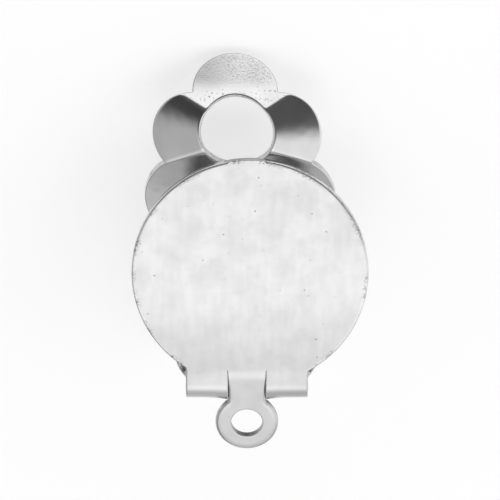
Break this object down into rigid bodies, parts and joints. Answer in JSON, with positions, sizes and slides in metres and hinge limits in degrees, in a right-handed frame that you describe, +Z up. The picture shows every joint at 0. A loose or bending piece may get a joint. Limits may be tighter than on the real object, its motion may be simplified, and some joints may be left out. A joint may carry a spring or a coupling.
{
  "type": "clip-on earring",
  "caption": "Clip-on earring finding: a stamped bracket with a round glue pad and a charm loop, and a flower-headed spring clip hinged in its ears.",
  "frame": {"origin": "middle of the box at the floor, with the earring lying on its back", "axes": "+Y from the hinge towards the flower, +X along the hinge, +Z up from the floor, so the glue pad faces up and a little towards +Y"},
  "size_m": [0.015, 0.0242, 0.0103],
  "materials": {
    "bracket_metal": "bright satin, fine scratches",
    "clip_metal": "polished, sheared edges left rough"
  },
  "bodies": {
    "bracket": {"bracket": "bracket_metal"},
    "clip": {"clip": "clip_metal", "spring_tongue": "clip_metal"}
  },
  "joints": [
    {"name": "clip_hinge", "type": "hinge", "parent": "bracket", "child": "clip", "pos_m": [-0.0002, -0.00802, 0.00248], "axis": [-1, 0, 0], "range_deg": [0, 80], "deforming": ["spring_tongue"]}
  ]
}
